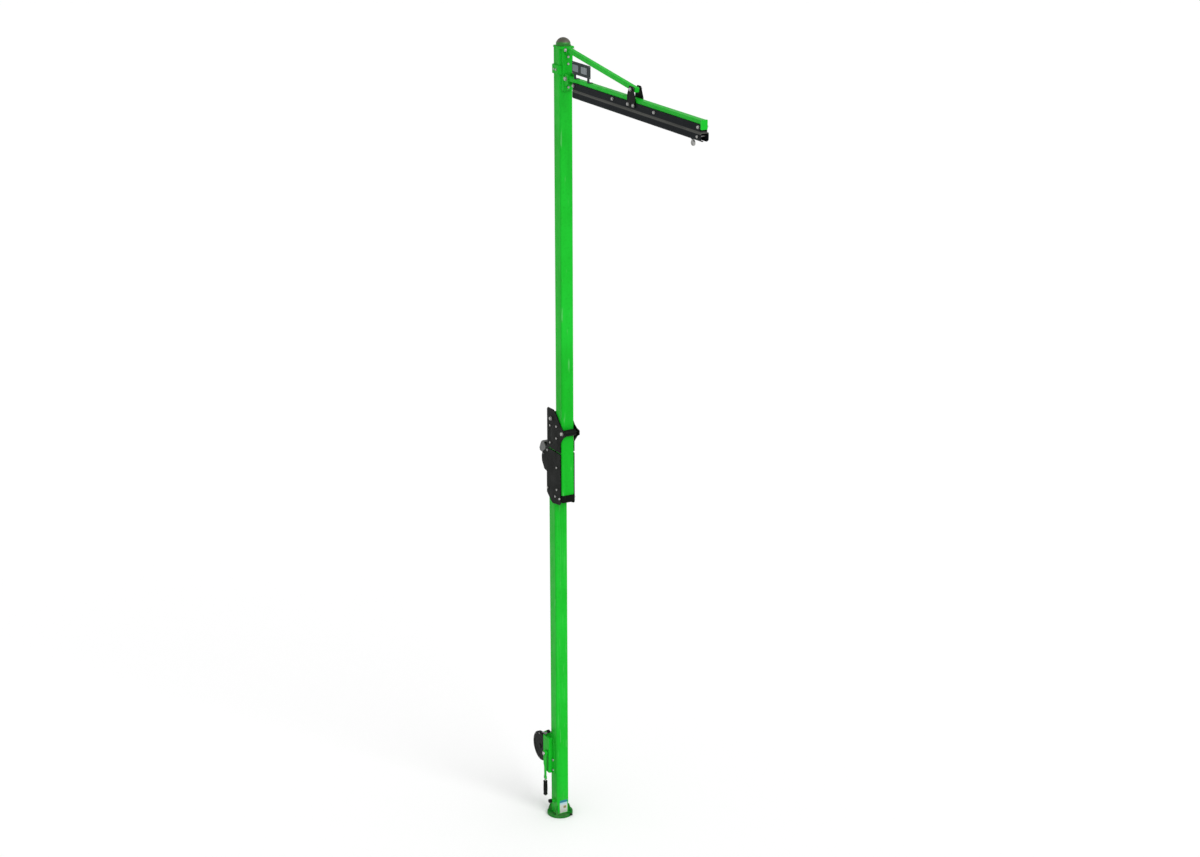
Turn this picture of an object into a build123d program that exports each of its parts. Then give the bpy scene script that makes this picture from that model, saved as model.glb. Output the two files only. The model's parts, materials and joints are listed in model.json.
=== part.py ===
"""Tall portable jib mast: two square masts side by side, the front one raised by a hand winch.

Millimetres, +Z up. The origin is the centre of the base plate's underside, which is also the
swivel axis of the lower mast. The jib arm points along +X, the crank is on the -Y side.
"""
import os
from math import acos, cos, hypot, pi, radians, sin, tan

from build123d import *

# ---------------------------------------------------------------- driving dimensions

RUNNING = 0.05            # radial clearance of every running fit

MAST_W = 100.0            # lower mast, outside width
MAST_WALL = 6.0
MAST_CORNER = 12.0        # outside corner radius of both masts
MAST_HALF = MAST_W / 2
UPPER_W = 98.8            # upper mast, a little smaller so that the side plates clear it
UPPER_X = 112.0           # upper mast's axis, ahead of the lower mast's
UPPER_FRONT = UPPER_X + UPPER_W / 2
UPPER_HALF = UPPER_W / 2

BASE_R = 97.0
BASE_T = 9.0
WASHER_T = 2.0
FLANGE_T = 10.0
FLANGE_Z = BASE_T + WASHER_T
LOWER_Z0 = FLANGE_Z + FLANGE_T
LOWER_Z1 = 3225.0
BASE_BOLT_R = 5.1         # M12 tapping size
BASE_BOLT_PCD = 150.0
SPIGOT_R = 34.0
SPIGOT_TOP = 200.0
GUSSET_H = 68.0

PLUNGER_Z = 120.0
PLUNGER_R = 6.0

UPPER_Z0 = 2603.0
UPPER_Z1 = 5878.0
SHOE_Z0 = 2593.0
SHOE_Z1 = 2643.0
SHOE_X0 = 51.0

ROPE_R = 3.0
ROPE_GAP = 0.3            # rope to the groove it lies in
FALL_X = 56.0             # the rope's last fall, in the gap between the masts
HEAD_X = 12.0
HEAD_Z = 3196.0
HEAD_R = FALL_X - HEAD_X
RISER_X = HEAD_X - HEAD_R
LEAD_R = 28.0
LEAD_X = RISER_X - LEAD_R
LEAD_Z = 640.0
SHEAVE_HALF = 7.5
AXLE_R = 8.0

GEAR_MODULE = 3.0
GEAR_TEETH = 69
PINION_TEETH = 15
GEAR_R = GEAR_MODULE * GEAR_TEETH / 2
PINION_R = GEAR_MODULE * PINION_TEETH / 2
PRESSURE = radians(20)
BACKLASH = 0.35
CRANK_X = -46.0
WINCH_Z = 510.0
DRUM_X = CRANK_X - GEAR_R - PINION_R
DRUM_CORE_R = 32.0
DRUM_PITCH_R = DRUM_CORE_R + ROPE_R + ROPE_GAP
DRUM_SHAFT_R = 12.0
PINION_SHAFT_R = 9.0
CASE_R = 115.0
CASE_FACE = -80.0
CHEEK_IN = -80.0          # near cheek of the pinion box
CHEEK_OUT = -86.0
FRAME_OUT = 56.0          # outer faces of the winch's two side plates
RATCHET_R = 30.0
PAWL_X = -78.0
PAWL_Z = 604.0

CRANK_Y = -100.0          # middle plane of the crank arm and grip
CRANK_T = 8.0
GRIP_HINGE_Z = 296.0
GRIP_Z0 = 161.0
GRIP_Z1 = 277.0
GRIP_R = 16.5
SPINDLE_R = 6.0

PLATE_IN = 53.0           # inner and outer faces of the black side plates
PLATE_OUT = 59.0

ROLLER_R = 24.0
ROLLER_X = UPPER_FRONT + 0.4 + ROLLER_R
ROLLER_Z = 3128.0
ROLLER_HALF = 46.0

LOCK_Z = 2830.0
LOCK_PITCH = 150.0
LOCK_COUNT = 13
LOCK_PIN_R = 6.0
LOCK_TIP_X = -52.0
LATCH_PIVOT = (-160.0, 2872.0)

BRACKET_X1 = 188.0
BRACKET_Z0 = 5594.0
ARM_W = 44.0
ARM_HALF = ARM_W / 2
ARM_Z0 = 5667.0
ARM_Z1 = 5693.0
ARM_WALL = 3.0
ARM_X0 = 190.0
ARM_X1 = 1986.0
ROOT_PIN = (212.0, 5680.0)
ROOT_PIN_R = 8.0
ARM_EAR_T = 7.0

TRACK_X0 = 305.0
TRACK_X1 = 1999.0
TRACK_WEB_HALF = 27.0
TRACK_HALF = 30.0
TRACK_RIDGE_Z = 5616.0
TRACK_Z0 = 5560.0
TRACK_WALL = 5.0
TRACK_SLOT_HALF = 8.0
TRACK_BOLT_X0 = 318.0
TRACK_BOLT_PITCH = 550.0
TRACK_BOLT_Z = 5648.0

STRUT_W = 32.0
STRUT_TOP = (202.5, 5873.0)
STRUT_FOOT = (1120.0, 5750.0)
STRUT_PIN_R = 7.0

TROLLEY_X = 1862.0
WHEEL_R = 13.0
WHEEL_BASE = 52.0
EYE_BORE_R = 12.0

os.makedirs("parts", exist_ok=True)

# ---------------------------------------------------------------- shape helpers


def block(x0, x1, y0, y1, z0, z1):
    """A box given by its faces."""
    middle = Pos((x0 + x1) / 2, (y0 + y1) / 2, (z0 + z1) / 2)
    return middle * Box(x1 - x0, y1 - y0, z1 - z0)


def rod_x(y, z, x0, x1, radius):
    return Pos((x0 + x1) / 2, y, z) * Rot(0, 90, 0) * Cylinder(radius, x1 - x0)


def rod_y(x, z, y0, y1, radius):
    return Pos(x, (y0 + y1) / 2, z) * Rot(90, 0, 0) * Cylinder(radius, y1 - y0)


def rod_z(x, y, z0, z1, radius):
    return Pos(x, y, (z0 + z1) / 2) * Cylinder(radius, z1 - z0)


def side_plate(outline, y0, y1, corner=0.0):
    """A plate cut to an outline in X and Z, standing between two Y faces."""
    face = Plane.XZ * Polygon(*outline, align=None)
    if corner:
        face = fillet(face.vertices(), corner)
    return Pos(0, y1, 0) * extrude(face, amount=y1 - y0, dir=(0, -1, 0))


def square_post(x, width, corner, z0, z1, wall=0.0):
    """A square post with round corners, hollow where a wall is given."""
    section = RectangleRounded(width, width, corner)
    if wall:
        section -= RectangleRounded(width - 2 * wall, width - 2 * wall, corner - wall)
    return Pos(x, 0, z0) * extrude(section, amount=z1 - z0)


def hexagon(flats, height):
    """A bolt head or nut along +Z from the origin, its corners taken off."""
    prism = extrude(RegularPolygon(flats / 2, 6, major_radius=False), amount=height)
    return prism & Pos(0, 0, height / 2) * Cylinder(flats * 0.55, height)


def hexagon_y(x, z, y0, y1, flats):
    return Pos(x, y1, z) * Rot(90, 0, 0) * hexagon(flats, y1 - y0)


def through_bolt(x, z, y0, y1, radius):
    """A bolt along Y: washer and head outside y0, washer, nut and thread end outside y1."""
    washer = radius * 0.3
    nut_end = y1 + washer + radius * 1.5
    bolt = rod_y(x, z, y0 - washer, nut_end + radius * 0.5, radius)
    bolt += rod_y(x, z, y0 - washer, y0, radius * 1.9)
    bolt += rod_y(x, z, y1, y1 + washer, radius * 1.9)
    bolt += hexagon_y(x, z, y0 - washer - radius * 1.2, y0 - washer, radius * 3)
    bolt += hexagon_y(x, z, y1 + washer, nut_end, radius * 3)
    return bolt


def stub_bolt(x, z, side, face, depth, radius):
    """A short bolt along Y with its head on a side plate's outer face, side -1 or +1."""
    shank = sorted((side * face, side * (face - depth)))
    head = sorted((side * face, side * (face + radius * 1.3)))
    return rod_y(x, z, *shank, radius) + hexagon_y(x, z, *head, radius * 3)


def group(solids):
    return Compound(children=list(solids))


def sheave(x, z, pitch_r, bore_r):
    """A rope wheel on an axle along Y, with a round-bottomed groove and lightening holes."""
    rim = pitch_r + ROPE_R + 2.0
    groove = ROPE_R + ROPE_GAP
    wheel = Cylinder(rim, 2 * SHEAVE_HALF) - Cylinder(bore_r, 2 * SHEAVE_HALF)
    wheel -= Torus(pitch_r, groove)
    wheel -= Cylinder(rim + 1, 2 * groove) - Cylinder(pitch_r, 2 * groove)
    web_r = (pitch_r - groove + bore_r) / 2
    hole_r = (pitch_r - groove - bore_r) * 0.3
    for turn in range(5):
        wheel -= Rot(0, 0, 72 * turn) * Pos(web_r, 0, 0) * Cylinder(hole_r, 2 * SHEAVE_HALF)
    return Pos(x, 0, z) * Rot(90, 0, 0) * wheel


def gear_blank(x, z, teeth, y0, y1):
    """A solid spur gear with involute flanks and a tooth pointing along +X."""
    pitch_r = GEAR_MODULE * teeth / 2
    base_r = pitch_r * cos(PRESSURE)
    root_r = pitch_r - 1.25 * GEAR_MODULE
    tip_r = pitch_r + 0.95 * GEAR_MODULE
    start_r = max(base_r, root_r)
    half_tooth = pi / (2 * teeth) - BACKLASH / (2 * pitch_r)
    involute = tan(PRESSURE) - PRESSURE
    flank = [(start_r + (tip_r - start_r) * step / 4) for step in range(5)]
    half_angles = []
    for radius in flank:
        lean = acos(min(1.0, base_r / radius))
        half_angles.append(half_tooth + involute - (tan(lean) - lean))
    if root_r < start_r:
        flank.insert(0, root_r)
        half_angles.insert(0, half_angles[0])
    outline = []
    for tooth in range(teeth):
        middle = 2 * pi * tooth / teeth
        for radius, half in zip(flank, half_angles):
            outline.append((x + radius * cos(middle - half), z + radius * sin(middle - half)))
        for radius, half in zip(reversed(flank), reversed(half_angles)):
            outline.append((x + radius * cos(middle + half), z + radius * sin(middle + half)))
    return side_plate(outline, y0, y1)


def save(name, shape):
    export_step(shape, f"parts/{name}.step")


# ---------------------------------------------------------------- base, which stays still

base_plate = rod_z(0, 0, 0, BASE_T, BASE_R)
base_plate = chamfer(base_plate.edges().group_by(Axis.Z)[-1], 1.5)
for quarter in range(4):
    bolt_hole = Pos(BASE_BOLT_PCD / 2, 0, BASE_T / 2) * Cylinder(BASE_BOLT_R, BASE_T)
    base_plate -= Rot(0, 0, 45 + 90 * quarter) * bolt_hole
spigot = rod_z(0, 0, BASE_T, SPIGOT_TOP, SPIGOT_R)
spigot = chamfer(spigot.edges().group_by(Axis.Z)[-1], 3)
spigot -= rod_z(0, 0, BASE_T, SPIGOT_TOP, SPIGOT_R - 10)
spigot -= rod_z(0, 0, PLUNGER_Z - 7, PLUNGER_Z + 7, SPIGOT_R) - rod_z(0, 0, PLUNGER_Z - 7, PLUNGER_Z + 7, 29)
save("base_plate", base_plate + spigot)

save("thrust_washer", rod_z(0, 0, BASE_T, FLANGE_Z, 62) - rod_z(0, 0, BASE_T, FLANGE_Z, SPIGOT_R + 1))

# ---------------------------------------------------------------- lower mast

flange = rod_z(0, 0, FLANGE_Z, LOWER_Z0, BASE_R)
flange = chamfer(flange.edges().group_by(Axis.Z)[-1], 2)
flange -= rod_z(0, 0, FLANGE_Z, LOWER_Z0, SPIGOT_R + 2)
gusset_root = MAST_HALF * 2 ** 0.5 - MAST_CORNER * (2 ** 0.5 - 1) - 0.5
gusset = side_plate(
    [
        (gusset_root, LOWER_Z0),
        (BASE_R - 5, LOWER_Z0),
        (BASE_R - 5, LOWER_Z0 + 12),
        (gusset_root + 6, LOWER_Z0 + GUSSET_H),
        (gusset_root, LOWER_Z0 + GUSSET_H),
    ],
    -4,
    4,
)
for quarter in range(4):
    flange += Rot(0, 0, 45 + 90 * quarter) * gusset
lock_bolt_angle = Rot(0, 0, 27)
flange -= lock_bolt_angle * rod_x(0, FLANGE_Z + FLANGE_T / 2, BASE_R - 24, BASE_R, 3.4)
flange -= square_post(0, MAST_W, MAST_CORNER, LOWER_Z0, LOWER_Z0 + GUSSET_H)
save("swivel_flange", flange)

lock_bolt = rod_x(0, FLANGE_Z + FLANGE_T / 2, BASE_R - 22, BASE_R + 6, 3.4)
lock_bolt += rod_x(0, FLANGE_Z + FLANGE_T / 2, BASE_R + 1, BASE_R + 4, 8.5)
lock_bolt += Pos(BASE_R + 4, 0, FLANGE_Z + FLANGE_T / 2) * Rot(0, 90, 0) * hexagon(14, 12)
save("swivel_stop_bolt", lock_bolt_angle * lock_bolt)

foot_bolt_at = ((0.0, 3010.0), (0.0, 3140.0))
lower_mast = square_post(0, MAST_W, MAST_CORNER, LOWER_Z0, LOWER_Z1, MAST_WALL)
lower_mast -= rod_y(0, PLUNGER_Z, -MAST_HALF - 1, 0, PLUNGER_R + 0.3)
for index in range(LOCK_COUNT):
    lower_mast -= rod_x(0, LOCK_Z - LOCK_PITCH * index, -MAST_HALF - 1, -MAST_HALF + 8, LOCK_PIN_R + 1.2)
lower_mast -= block(-MAST_HALF - 1, -30, -11, 11, LEAD_Z - 50, LEAD_Z + 42)
lower_mast -= block(30, MAST_HALF + 1, -11, 11, HEAD_Z - 58, LOWER_Z1 + 1)
lower_mast -= rod_y(HEAD_X, HEAD_Z, -MAST_HALF - 1, MAST_HALF + 1, AXLE_R)
for bolt_x, bolt_z in foot_bolt_at:
    lower_mast -= rod_y(bolt_x, bolt_z, -MAST_HALF - 1, MAST_HALF + 1, 5)
save("lower_mast_tube", lower_mast)

bush_w = MAST_W - 2 * MAST_WALL - 0.2
bushes = []
for bush_z in (24.0, 162.0):
    bush = square_post(0, bush_w, 6, bush_z, bush_z + 30)
    bushes.append(bush - rod_z(0, 0, bush_z, bush_z + 30, SPIGOT_R + RUNNING))
save("spigot_bushes", group(bushes))

label = block(MAST_HALF, MAST_HALF + 0.8, -27, 37, 22, 128)
label = fillet(label.edges().filter_by(Axis.X), 4)
save("mast_label", label)

plunger_boss = rod_y(0, PLUNGER_Z, -72, -MAST_HALF, 15)
plunger_boss = chamfer(plunger_boss.edges().group_by(Axis.Y)[0], 2)
plunger_boss += hexagon_y(0, PLUNGER_Z, -58, -MAST_HALF, 38)
plunger_boss -= rod_y(0, PLUNGER_Z, -72, -MAST_HALF, PLUNGER_R + RUNNING)
save("plunger_boss", plunger_boss)

plunger = rod_y(0, PLUNGER_Z, -80, -30.5, PLUNGER_R)
plunger = chamfer(plunger.edges().group_by(Axis.Y)[-1], 1.5)
save("plunger_pin", plunger)
plunger_knob = rod_y(0, PLUNGER_Z, -96, -74, 15)
plunger_knob = fillet(plunger_knob.edges().group_by(Axis.Y)[0], 5)
plunger_knob -= rod_y(0, PLUNGER_Z, -80, -74, PLUNGER_R)
for flute in range(6):
    groove_at = Pos(0, 0, PLUNGER_Z) * Rot(0, 60 * flute, 0) * Pos(17.5, 0, 0)
    plunger_knob -= groove_at * Pos(0, -85, 0) * Rot(90, 0, 0) * Cylinder(4, 24)
save("plunger_knob", plunger_knob)

# ---------------------------------------------------------------- upper bracket on the lower mast

bracket_outline = [
    (-52, 2968), (-52, 3256), (-40, 3268), (48, 3272), (92, 3243), (124, 3210), (156, 3176),
    (192, 3156), (230, 3150), (230, 3118), (200, 3100), (172, 3070), (150, 3044), (150, 2968),
]
bracket_bolt_at = ((HEAD_X, HEAD_Z, AXLE_R), (ROLLER_X, ROLLER_Z, AXLE_R))
pad_bolt_at = ((99.0, 3160.0), (99.0, 3070.0))
pad_holder = [(68, 3052), (150, 3052), (150, 3120), (128, 3182), (68, 3182)]
for name, side in (("upper_bracket_near", -1), ("upper_bracket_far", 1)):
    y_faces = sorted((side * PLATE_IN, side * PLATE_OUT))
    plate = side_plate(bracket_outline, *y_faces, corner=6)
    foot_y = sorted((side * MAST_HALF, side * PLATE_IN))
    plate += block(-40, 40, *foot_y, 2990, 3180)
    for bolt_x, bolt_z, bolt_r in bracket_bolt_at:
        plate -= rod_y(bolt_x, bolt_z, -PLATE_OUT, PLATE_OUT, bolt_r)
    for bolt_x, bolt_z in pad_bolt_at + foot_bolt_at:
        plate -= rod_y(bolt_x, bolt_z, -PLATE_OUT, PLATE_OUT, 5)
    save(name, plate)

bolts = [through_bolt(x, z, -PLATE_OUT, PLATE_OUT, radius) for x, z, radius in bracket_bolt_at]
for side in (-1, 1):
    bolts += [stub_bolt(x, z, side, PLATE_OUT, 8.5, 5) for x, z in pad_bolt_at]
    bolts += [stub_bolt(x, z, side, PLATE_OUT, 14.5, 5) for x, z in foot_bolt_at]
save("bracket_bolts", group(bolts))

pads = []
for side in (-1, 1):
    y_faces = sorted((side * (UPPER_HALF + 0.3), side * PLATE_IN))
    side_pad = side_plate(pad_holder, *y_faces)
    for bolt_x, bolt_z in pad_bolt_at:
        side_pad -= rod_y(bolt_x, bolt_z, -PLATE_OUT, PLATE_OUT, 5)
    pads.append(side_pad)
    gap_y = sorted((side * 14, side * 44))
    pads.append(block(MAST_HALF, UPPER_X - UPPER_HALF - 0.3, *gap_y, 3060, 3200))
save("upper_mast_pads", group(pads))

front_roller = rod_y(ROLLER_X, ROLLER_Z, -ROLLER_HALF, ROLLER_HALF, ROLLER_R)
front_roller = fillet(front_roller.edges(), 3)
front_roller -= rod_y(ROLLER_X, ROLLER_Z, -ROLLER_HALF, ROLLER_HALF, AXLE_R + RUNNING)
save("front_roller", front_roller)
save("head_sheave", sheave(HEAD_X, HEAD_Z, HEAD_R, AXLE_R + RUNNING))

# ---------------------------------------------------------------- winch frame and gear case

frame_outline = [
    (22, 352), (22, 604), (-24, 672), (-94, 672), (-200, 604), (-236, 560), (-236, 478),
    (-150, 392), (-118, 352),
]
mast_bolt_at = ((4.0, 462.0), (4.0, 378.0))
tie_bolt_at = ((-214.0, 584.0), (-110.0, 400.0), (-122.0, 622.0))
tie_r = 5.0
lead_axle_r = 6.0
winch_frame = Part()
for side in (-1, 1):
    y_faces = sorted((side * MAST_HALF, side * FRAME_OUT))
    winch_frame += side_plate(frame_outline, *y_faces, corner=5)
winch_frame += block(-56, -MAST_HALF, -MAST_HALF, MAST_HALF, 352, 584)
box_x0 = -104.0
box_x1 = -10.0
box_z0 = 352.0
box_z1 = 640.0
web = 6.0
winch_frame += side_plate(
    [(box_x0, box_z0 + 40), (box_x0, box_z1), (box_x1, box_z1), (box_x1, box_z0), (box_x0 + 24, box_z0)],
    CHEEK_OUT, CHEEK_IN, corner=5,
)
winch_frame += block(box_x0 + 30, box_x1, CHEEK_IN, -FRAME_OUT, box_z0, box_z0 + web)
winch_frame += block(box_x0, box_x1, CHEEK_IN, -FRAME_OUT, box_z1 - web, box_z1)
winch_frame += block(box_x1 - web, box_x1, CHEEK_IN, -FRAME_OUT, box_z0, box_z1)
winch_frame -= block(-98, -58, CHEEK_IN, -72, box_z1 - web, box_z1)
winch_frame -= rod_y(CRANK_X, WINCH_Z, CHEEK_OUT, -MAST_HALF, PINION_SHAFT_R + RUNNING)
winch_frame -= rod_y(DRUM_X, WINCH_Z, -FRAME_OUT, FRAME_OUT, DRUM_SHAFT_R + RUNNING)
winch_frame -= rod_y(LEAD_X, LEAD_Z, -FRAME_OUT, FRAME_OUT, lead_axle_r)
winch_frame -= rod_y(PAWL_X, PAWL_Z, CHEEK_OUT, CHEEK_IN, 5 + RUNNING)
for bolt_x, bolt_z in tie_bolt_at:
    winch_frame -= rod_y(bolt_x, bolt_z, -FRAME_OUT, FRAME_OUT, tie_r)
for bolt_x, bolt_z in mast_bolt_at:
    winch_frame -= rod_y(bolt_x, bolt_z, -FRAME_OUT, FRAME_OUT, 6)
save("winch_frame", winch_frame)

case = rod_y(DRUM_X, WINCH_Z, CASE_FACE, -FRAME_OUT, CASE_R)
case = fillet(case.edges().group_by(Axis.Y)[0], 6)
case -= rod_y(DRUM_X, WINCH_Z, CASE_FACE + 4, -FRAME_OUT, CASE_R - 4.5)
for ring_r in (88.0, 60.0):
    case += rod_y(DRUM_X, WINCH_Z, CASE_FACE - 1.5, CASE_FACE, ring_r) - rod_y(
        DRUM_X, WINCH_Z, CASE_FACE - 1.5, CASE_FACE, ring_r - 8
    )
case += rod_y(DRUM_X, WINCH_Z, CASE_FACE - 5, CASE_FACE + 4, 20)
case -= rod_y(DRUM_X, WINCH_Z, CASE_FACE - 1, -FRAME_OUT, DRUM_SHAFT_R + RUNNING)
case -= rod_y(CRANK_X, WINCH_Z, CASE_FACE - 5, -FRAME_OUT, RATCHET_R + 2)
case -= block(box_x0 - 0.5, box_x1, CHEEK_OUT, CHEEK_IN, box_z0, box_z1)
case -= block(box_x0 - 0.5, box_x1, CHEEK_IN, -FRAME_OUT, PAWL_Z - 70, box_z1)
save("winch_gear_case", case)

winch_bolts = [rod_y(LEAD_X, LEAD_Z, -FRAME_OUT, FRAME_OUT, lead_axle_r)]
winch_bolts[0] += hexagon_y(LEAD_X, LEAD_Z, FRAME_OUT, FRAME_OUT + 9, 19)
for bolt_x, bolt_z in tie_bolt_at[:2]:
    tie = rod_y(bolt_x, bolt_z, -FRAME_OUT, FRAME_OUT, tie_r)
    winch_bolts.append(tie + hexagon_y(bolt_x, bolt_z, FRAME_OUT, FRAME_OUT + 8, 16))
top_tie = rod_y(*tie_bolt_at[2], -FRAME_OUT, FRAME_OUT, tie_r)
winch_bolts.append(top_tie + hexagon_y(*tie_bolt_at[2], FRAME_OUT, FRAME_OUT + 8, 16))
for side in (-1, 1):
    for bolt_x, bolt_z in mast_bolt_at:
        winch_bolts.append(stub_bolt(bolt_x, bolt_z, side, FRAME_OUT, 6, 6))
save("winch_bolts", group(winch_bolts))

# ---------------------------------------------------------------- drum, gear and rope

drum = rod_y(DRUM_X, WINCH_Z, -44, 44, DRUM_CORE_R)
for side in (-1, 1):
    flange_y = sorted((side * 44, side * 48))
    drum += fillet(rod_y(DRUM_X, WINCH_Z, *flange_y, 60).edges(), 1.5)
drum += rod_y(DRUM_X, WINCH_Z, -78, 64, DRUM_SHAFT_R)
save("winch_drum", drum)

gear = gear_blank(DRUM_X, WINCH_Z, GEAR_TEETH, -72, -60)
gear -= rod_y(DRUM_X, WINCH_Z, -72, -60, DRUM_SHAFT_R)
for turn in range(6):
    spoke_gap = Pos(DRUM_X, 0, WINCH_Z) * Rot(0, 60 * turn, 0) * Pos(58, -66, 0)
    gear -= spoke_gap * Rot(90, 0, 0) * Cylinder(19, 12)
save("drum_gear", gear)

coil = Part()
for layer in range(2):
    coil_r = DRUM_CORE_R + ROPE_R + layer * ROPE_R * 1.75
    for turn in range(6):
        turn_y = -ROPE_R * (2.5 + 2 * turn + layer)
        coil += Pos(DRUM_X, turn_y, WINCH_Z) * Rot(90, 0, 0) * Torus(coil_r, ROPE_R * 0.985)
save("drum_rope", coil)

pinion = gear_blank(CRANK_X, WINCH_Z, PINION_TEETH, -73, -59)
pinion += rod_y(CRANK_X, WINCH_Z, -116, -MAST_HALF - 0.5, PINION_SHAFT_R)
save("pinion_shaft", pinion)

ratchet_teeth = 18
ratchet_outline = []
for tooth in range(ratchet_teeth):
    start = 2 * pi * tooth / ratchet_teeth
    step = 2 * pi / ratchet_teeth
    for radius, part_turn in ((RATCHET_R, 0.0), (RATCHET_R, 0.12), (RATCHET_R - 6, 0.96)):
        angle = start + step * part_turn
        ratchet_outline.append((CRANK_X + radius * cos(angle), WINCH_Z + radius * sin(angle)))
ratchet = side_plate(ratchet_outline, CHEEK_IN + 0.8, CHEEK_IN + 4.8)
save("ratchet_wheel", ratchet - rod_y(CRANK_X, WINCH_Z, CHEEK_IN, CHEEK_IN + 5, PINION_SHAFT_R))

# ---------------------------------------------------------------- crank, folding grip and pawl

crank_y0 = CRANK_Y - CRANK_T / 2
crank_y1 = CRANK_Y + CRANK_T / 2
fork_half = 12.0
tongue_half = 5.0
crank = side_plate(
    [
        (CRANK_X - 16, WINCH_Z + 6), (CRANK_X + 16, WINCH_Z + 6), (CRANK_X + fork_half, GRIP_HINGE_Z + 46),
        (CRANK_X + fork_half, GRIP_HINGE_Z + 14), (CRANK_X - fork_half, GRIP_HINGE_Z + 14),
        (CRANK_X - fork_half, GRIP_HINGE_Z + 46),
    ],
    crank_y0, crank_y1,
)
crank += rod_y(CRANK_X, WINCH_Z, -110, -90, 22)
crank += rod_y(CRANK_X, WINCH_Z, -88, -86.5, 14)
for side in (-1, 1):
    tine_x = sorted((CRANK_X + side * (tongue_half + 0.5), CRANK_X + side * fork_half))
    tine = block(*tine_x, crank_y0 - 3, crank_y1 + 3, GRIP_HINGE_Z, GRIP_HINGE_Z + 20)
    tine += rod_x(CRANK_Y, GRIP_HINGE_Z, *tine_x, 7)
    crank += tine
crank -= rod_y(CRANK_X, WINCH_Z, -116, -86, PINION_SHAFT_R)
crank -= rod_x(CRANK_Y, GRIP_HINGE_Z, CRANK_X - 14, CRANK_X + 14, 3.5)
crank_nut = hexagon_y(CRANK_X, WINCH_Z, -118, -110, 27)
crank_nut -= rod_y(CRANK_X, WINCH_Z, -116, -110, PINION_SHAFT_R)
crank_hinge_pin = rod_x(CRANK_Y, GRIP_HINGE_Z, CRANK_X - 14, CRANK_X + 14, 3.5)
save("crank_arm", crank)
save("crank_nut_and_pin", group([crank_nut, crank_hinge_pin]))

spindle = rod_x(CRANK_Y, GRIP_HINGE_Z, CRANK_X - tongue_half, CRANK_X + tongue_half, 7)
spindle += block(
    CRANK_X - tongue_half, CRANK_X + tongue_half, CRANK_Y - 6, CRANK_Y + 6, GRIP_Z1 + 2, GRIP_HINGE_Z
)
spindle += rod_z(CRANK_X, CRANK_Y, GRIP_Z0 - 6, GRIP_Z1 + 5, SPINDLE_R)
spindle += rod_z(CRANK_X, CRANK_Y, GRIP_Z0 - 8, GRIP_Z0 - 2, 9)
spindle += rod_z(CRANK_X, CRANK_Y, GRIP_Z1 + 0.3, GRIP_Z1 + 4, 9)
spindle -= rod_x(CRANK_Y, GRIP_HINGE_Z, CRANK_X - 14, CRANK_X + 14, 3.5 + RUNNING)
save("grip_spindle", spindle)

grip = rod_z(CRANK_X, CRANK_Y, GRIP_Z0, GRIP_Z1, GRIP_R)
grip = fillet(grip.edges(), 5)
for ring_index in range(5):
    ring_z = GRIP_Z0 + 22 + 18 * ring_index
    grip -= Pos(CRANK_X, CRANK_Y, ring_z) * Torus(GRIP_R + 1.2, 2.6)
grip -= rod_z(CRANK_X, CRANK_Y, GRIP_Z0, GRIP_Z1, SPINDLE_R + RUNNING)
save("crank_grip", grip)

pawl_y0 = CHEEK_IN + 0.6
pawl_y1 = CHEEK_IN + 5.0
pawl = rod_y(PAWL_X, PAWL_Z, pawl_y0, pawl_y1, 10)
pawl += side_plate([(-84, 604), (-72, 604), (-60, 545), (-66, 541), (-70, 546)], pawl_y0, pawl_y1)
pawl += side_plate([(-84, 604), (-72, 604), (-74, 652), (-84, 652)], pawl_y0, pawl_y1)
pawl_handle = side_plate(
    [(-142, 638), (-138, 646), (-84, 662), (-38, 690), (-34, 682), (-78, 646)], pawl_y0, pawl_y1
)
pawl += pawl_handle
pawl -= rod_y(PAWL_X, PAWL_Z, pawl_y0, pawl_y1, 5)
pawl += rod_y(PAWL_X, PAWL_Z, CHEEK_OUT - 2, pawl_y1, 5)
save("pawl_lever", pawl)
pawl_knob = Pos(-34, CHEEK_IN + 2.8, 690) * Sphere(14)
pawl_knob -= pawl_handle
save("pawl_knob", pawl_knob)

# ---------------------------------------------------------------- hoist rope

lead_to_drum = hypot(LEAD_X - DRUM_X, LEAD_Z - WINCH_Z)
along = ((LEAD_X - DRUM_X) / lead_to_drum, (LEAD_Z - WINCH_Z) / lead_to_drum)
across = (along[1], -along[0])
lean = (DRUM_PITCH_R - LEAD_R) / lead_to_drum
tangent = (
    across[0] * (1 - lean ** 2) ** 0.5 + along[0] * lean,
    across[1] * (1 - lean ** 2) ** 0.5 + along[1] * lean,
)
drum_leave = (DRUM_X + DRUM_PITCH_R * tangent[0], WINCH_Z + DRUM_PITCH_R * tangent[1])
lead_meet = (LEAD_X + LEAD_R * tangent[0], LEAD_Z + LEAD_R * tangent[1])
half_turn = ((1 + tangent[0]) / 2, tangent[1] / 2)
half_scale = 1 / hypot(*half_turn)
lead_middle = (LEAD_X + LEAD_R * half_turn[0] * half_scale, LEAD_Z + LEAD_R * half_turn[1] * half_scale)


def at(x, z):
    return Vector(x, 0, z)


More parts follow.
